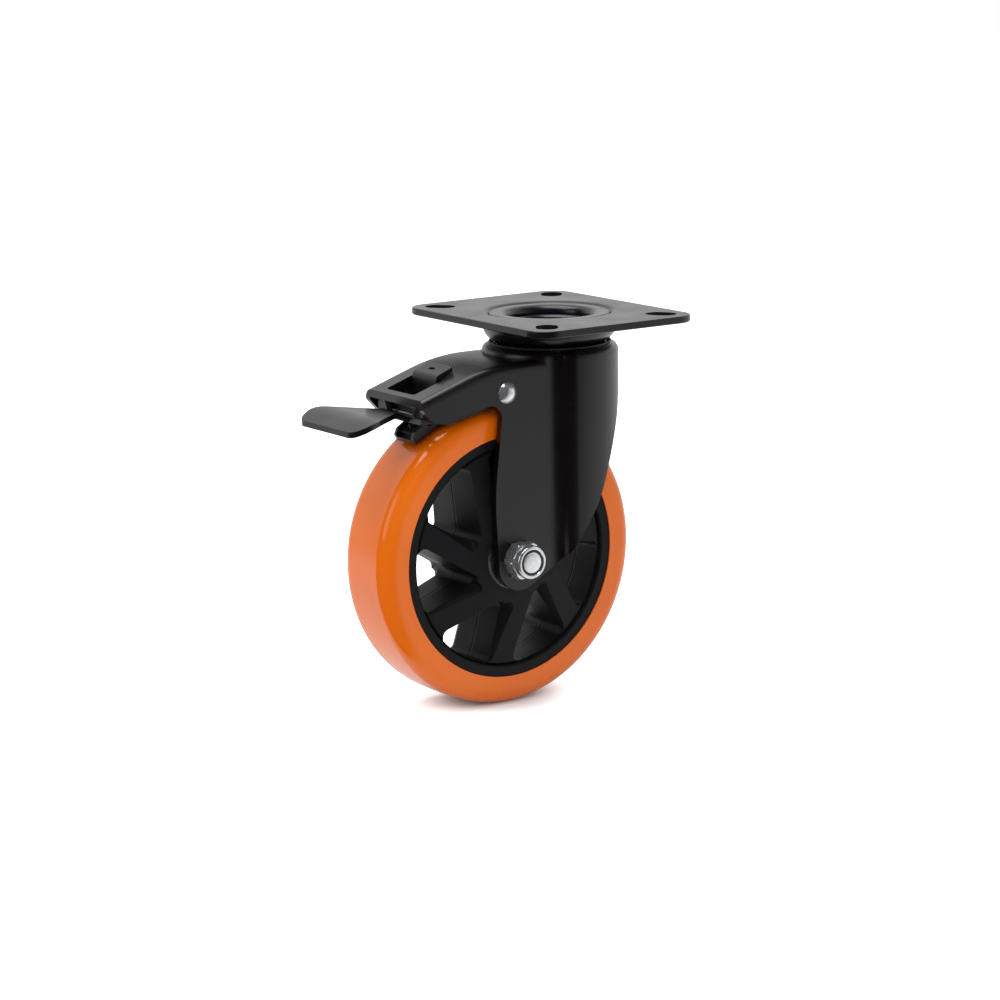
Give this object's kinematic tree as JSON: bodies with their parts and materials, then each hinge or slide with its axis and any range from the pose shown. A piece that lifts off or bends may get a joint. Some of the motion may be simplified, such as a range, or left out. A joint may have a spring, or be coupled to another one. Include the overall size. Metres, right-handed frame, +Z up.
{
  "type": "swivel castor",
  "caption": "Plate-fixed swivel castor: pressed fork with a hood, spoked wheel with an orange tread, and a foot pedal that presses a shoe on the tread.",
  "frame": {"origin": "on the swivel axis at the top face of the plate", "axes": "+Z up along the swivel axis; the plate's short side and the direction of travel along X, the wheel trailing to -X; the wheel's axle along Y, nut on the -Y side"},
  "size_m": [0.1502, 0.1, 0.16],
  "materials": {
    "black_steel": "semi-gloss black electrocoat on pressed steel",
    "black_pressing": "satin black coat on pressed steel",
    "ball_steel": "polished bearing balls",
    "zinc": "bright zinc plate",
    "plain_steel": "turned and drawn steel",
    "black_nylon": "plain black plastic",
    "rim_plastic": "fine matt charcoal moulding",
    "orange_tread": "smooth glossy moulded elastomer, unmarked"
  },
  "bodies": {
    "plate": {"top_plate": "black_steel", "upper_balls": "ball_steel"},
    "swivel_fork": {"fork": "black_steel", "kingpin": "black_steel", "lower_balls": "ball_steel", "dust_seal": "black_nylon", "axle_bolt": "zinc", "axle_nut": "zinc", "nut_insert": "black_nylon", "spacer_sleeve": "plain_steel", "bearing_inner_near": "plain_steel", "bearing_inner_far": "plain_steel", "pivot_rivet": "zinc", "pivot_spacer_near": "plain_steel", "pivot_spacer_far": "plain_steel"},
    "wheel": {"wheel_rim": "rim_plastic", "tyre": "orange_tread", "bearing_outer_near": "plain_steel", "bearing_outer_far": "plain_steel", "bearing_balls_near": "ball_steel", "bearing_balls_far": "ball_steel", "bearing_shield_near": "plain_steel", "bearing_shield_far": "plain_steel"},
    "pedal": {"brake_pedal": "black_pressing", "push_pin": "zinc", "return_spring": "plain_steel"},
    "shoe": {"brake_arm": "black_pressing", "brake_shoe": "black_pressing", "shoe_rivet": "zinc"}
  },
  "joints": [
    {"name": "swivel", "type": "hinge", "parent": "plate", "child": "swivel_fork", "pos_m": [0, 0, -0.01], "axis": [0, 0, 1], "continuous": true},
    {"name": "wheel_spin", "type": "hinge", "parent": "swivel_fork", "child": "wheel", "pos_m": [-0.032, 0, -0.0975], "axis": [0, 1, 0], "continuous": true},
    {"name": "pedal_press", "type": "hinge", "parent": "swivel_fork", "child": "pedal", "pos_m": [-0.0367, 0, -0.0281], "axis": [0, -1, 0], "range_deg": [0, 7]},
    {"name": "shoe_swing", "type": "hinge", "parent": "swivel_fork", "child": "shoe", "pos_m": [-0.061, 0, -0.0232], "axis": [0, -1, 0], "range_deg": [0, 3.5]}
  ],
  "couplings": [
    {"joint": "shoe_swing", "follows": "pedal_press", "ratio": 0.5}
  ]
}
